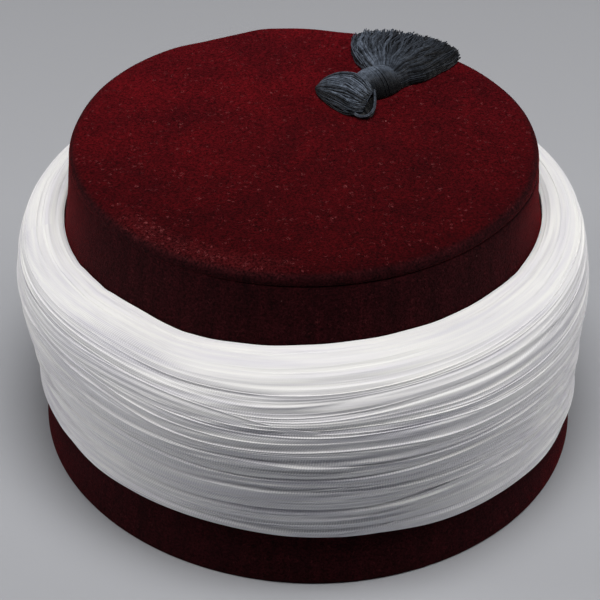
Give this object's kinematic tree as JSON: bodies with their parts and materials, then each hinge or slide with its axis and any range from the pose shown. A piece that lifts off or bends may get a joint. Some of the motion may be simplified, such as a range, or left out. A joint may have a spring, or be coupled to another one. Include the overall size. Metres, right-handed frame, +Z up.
{
  "type": "fez with a wound turban sash",
  "caption": "Stiff velvet fez with a white muslin sash wound round its side and a thread tassel lying on its flat tip; open below for the head.",
  "frame": {"origin": "under the middle of the hat's box, on the surface that its rim rests on", "axes": "+Z up, -Y the front of the hat, +X towards the wearer's left ear"},
  "size_m": [0.198, 0.2138, 0.1194],
  "materials": {
    "velvet": "burgundy cotton velvet, short dense pile over a stiff base",
    "muslin": "white cotton muslin, finely pleated and wound",
    "thread": "blue-black rayon thread with a soft sheen"
  },
  "bodies": {
    "root": {"fez_side": "velvet", "fez_tip": "velvet", "turban_sash": "muslin", "tassel_head": "thread", "tassel_binding": "thread", "tassel_skirt": "thread"}
  },
  "joints": []
}
